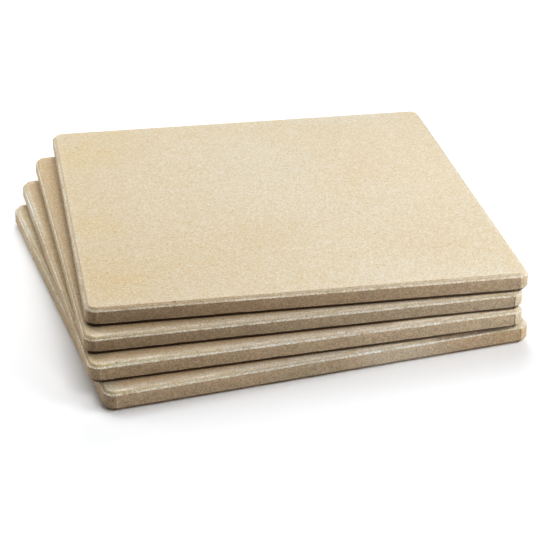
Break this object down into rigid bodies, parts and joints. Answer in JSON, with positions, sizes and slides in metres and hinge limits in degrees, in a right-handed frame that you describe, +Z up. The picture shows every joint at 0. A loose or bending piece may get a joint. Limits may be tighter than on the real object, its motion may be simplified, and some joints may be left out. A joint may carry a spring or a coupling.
{
  "type": "pizza stone",
  "caption": "Square pressed cordierite baking stones with bevelled rims and undercut feet, stacked loose and slightly fanned; each lifts off.",
  "frame": {"origin": "centre of the lowest stone's underside, on the surface it stands on", "axes": "+Z up through the stack, -Y to the front, where the picture is taken from, with the lowest stone square to X and Y"},
  "size_m": [0.2178, 0.2148, 0.0353],
  "materials": {
    "pressed_stone": "matte unglazed fired cordierite, sandy grain with a chalky worn rim"
  },
  "bodies": {
    "bottom_stone": {"bottom_stone": "pressed_stone"},
    "second_stone": {"second_stone": "pressed_stone"},
    "third_stone": {"third_stone": "pressed_stone"},
    "top_stone": {"top_stone": "pressed_stone"}
  },
  "joints": [
    {"name": "second_stone_lift", "type": "slide", "parent": "bottom_stone", "child": "second_stone", "axis": [0, 0, 1], "range_m": [0, 0.1]},
    {"name": "third_stone_lift", "type": "slide", "parent": "second_stone", "child": "third_stone", "axis": [0, 0, 1], "range_m": [0, 0.1]},
    {"name": "top_stone_lift", "type": "slide", "parent": "third_stone", "child": "top_stone", "axis": [0, 0, 1], "range_m": [0, 0.1]}
  ]
}
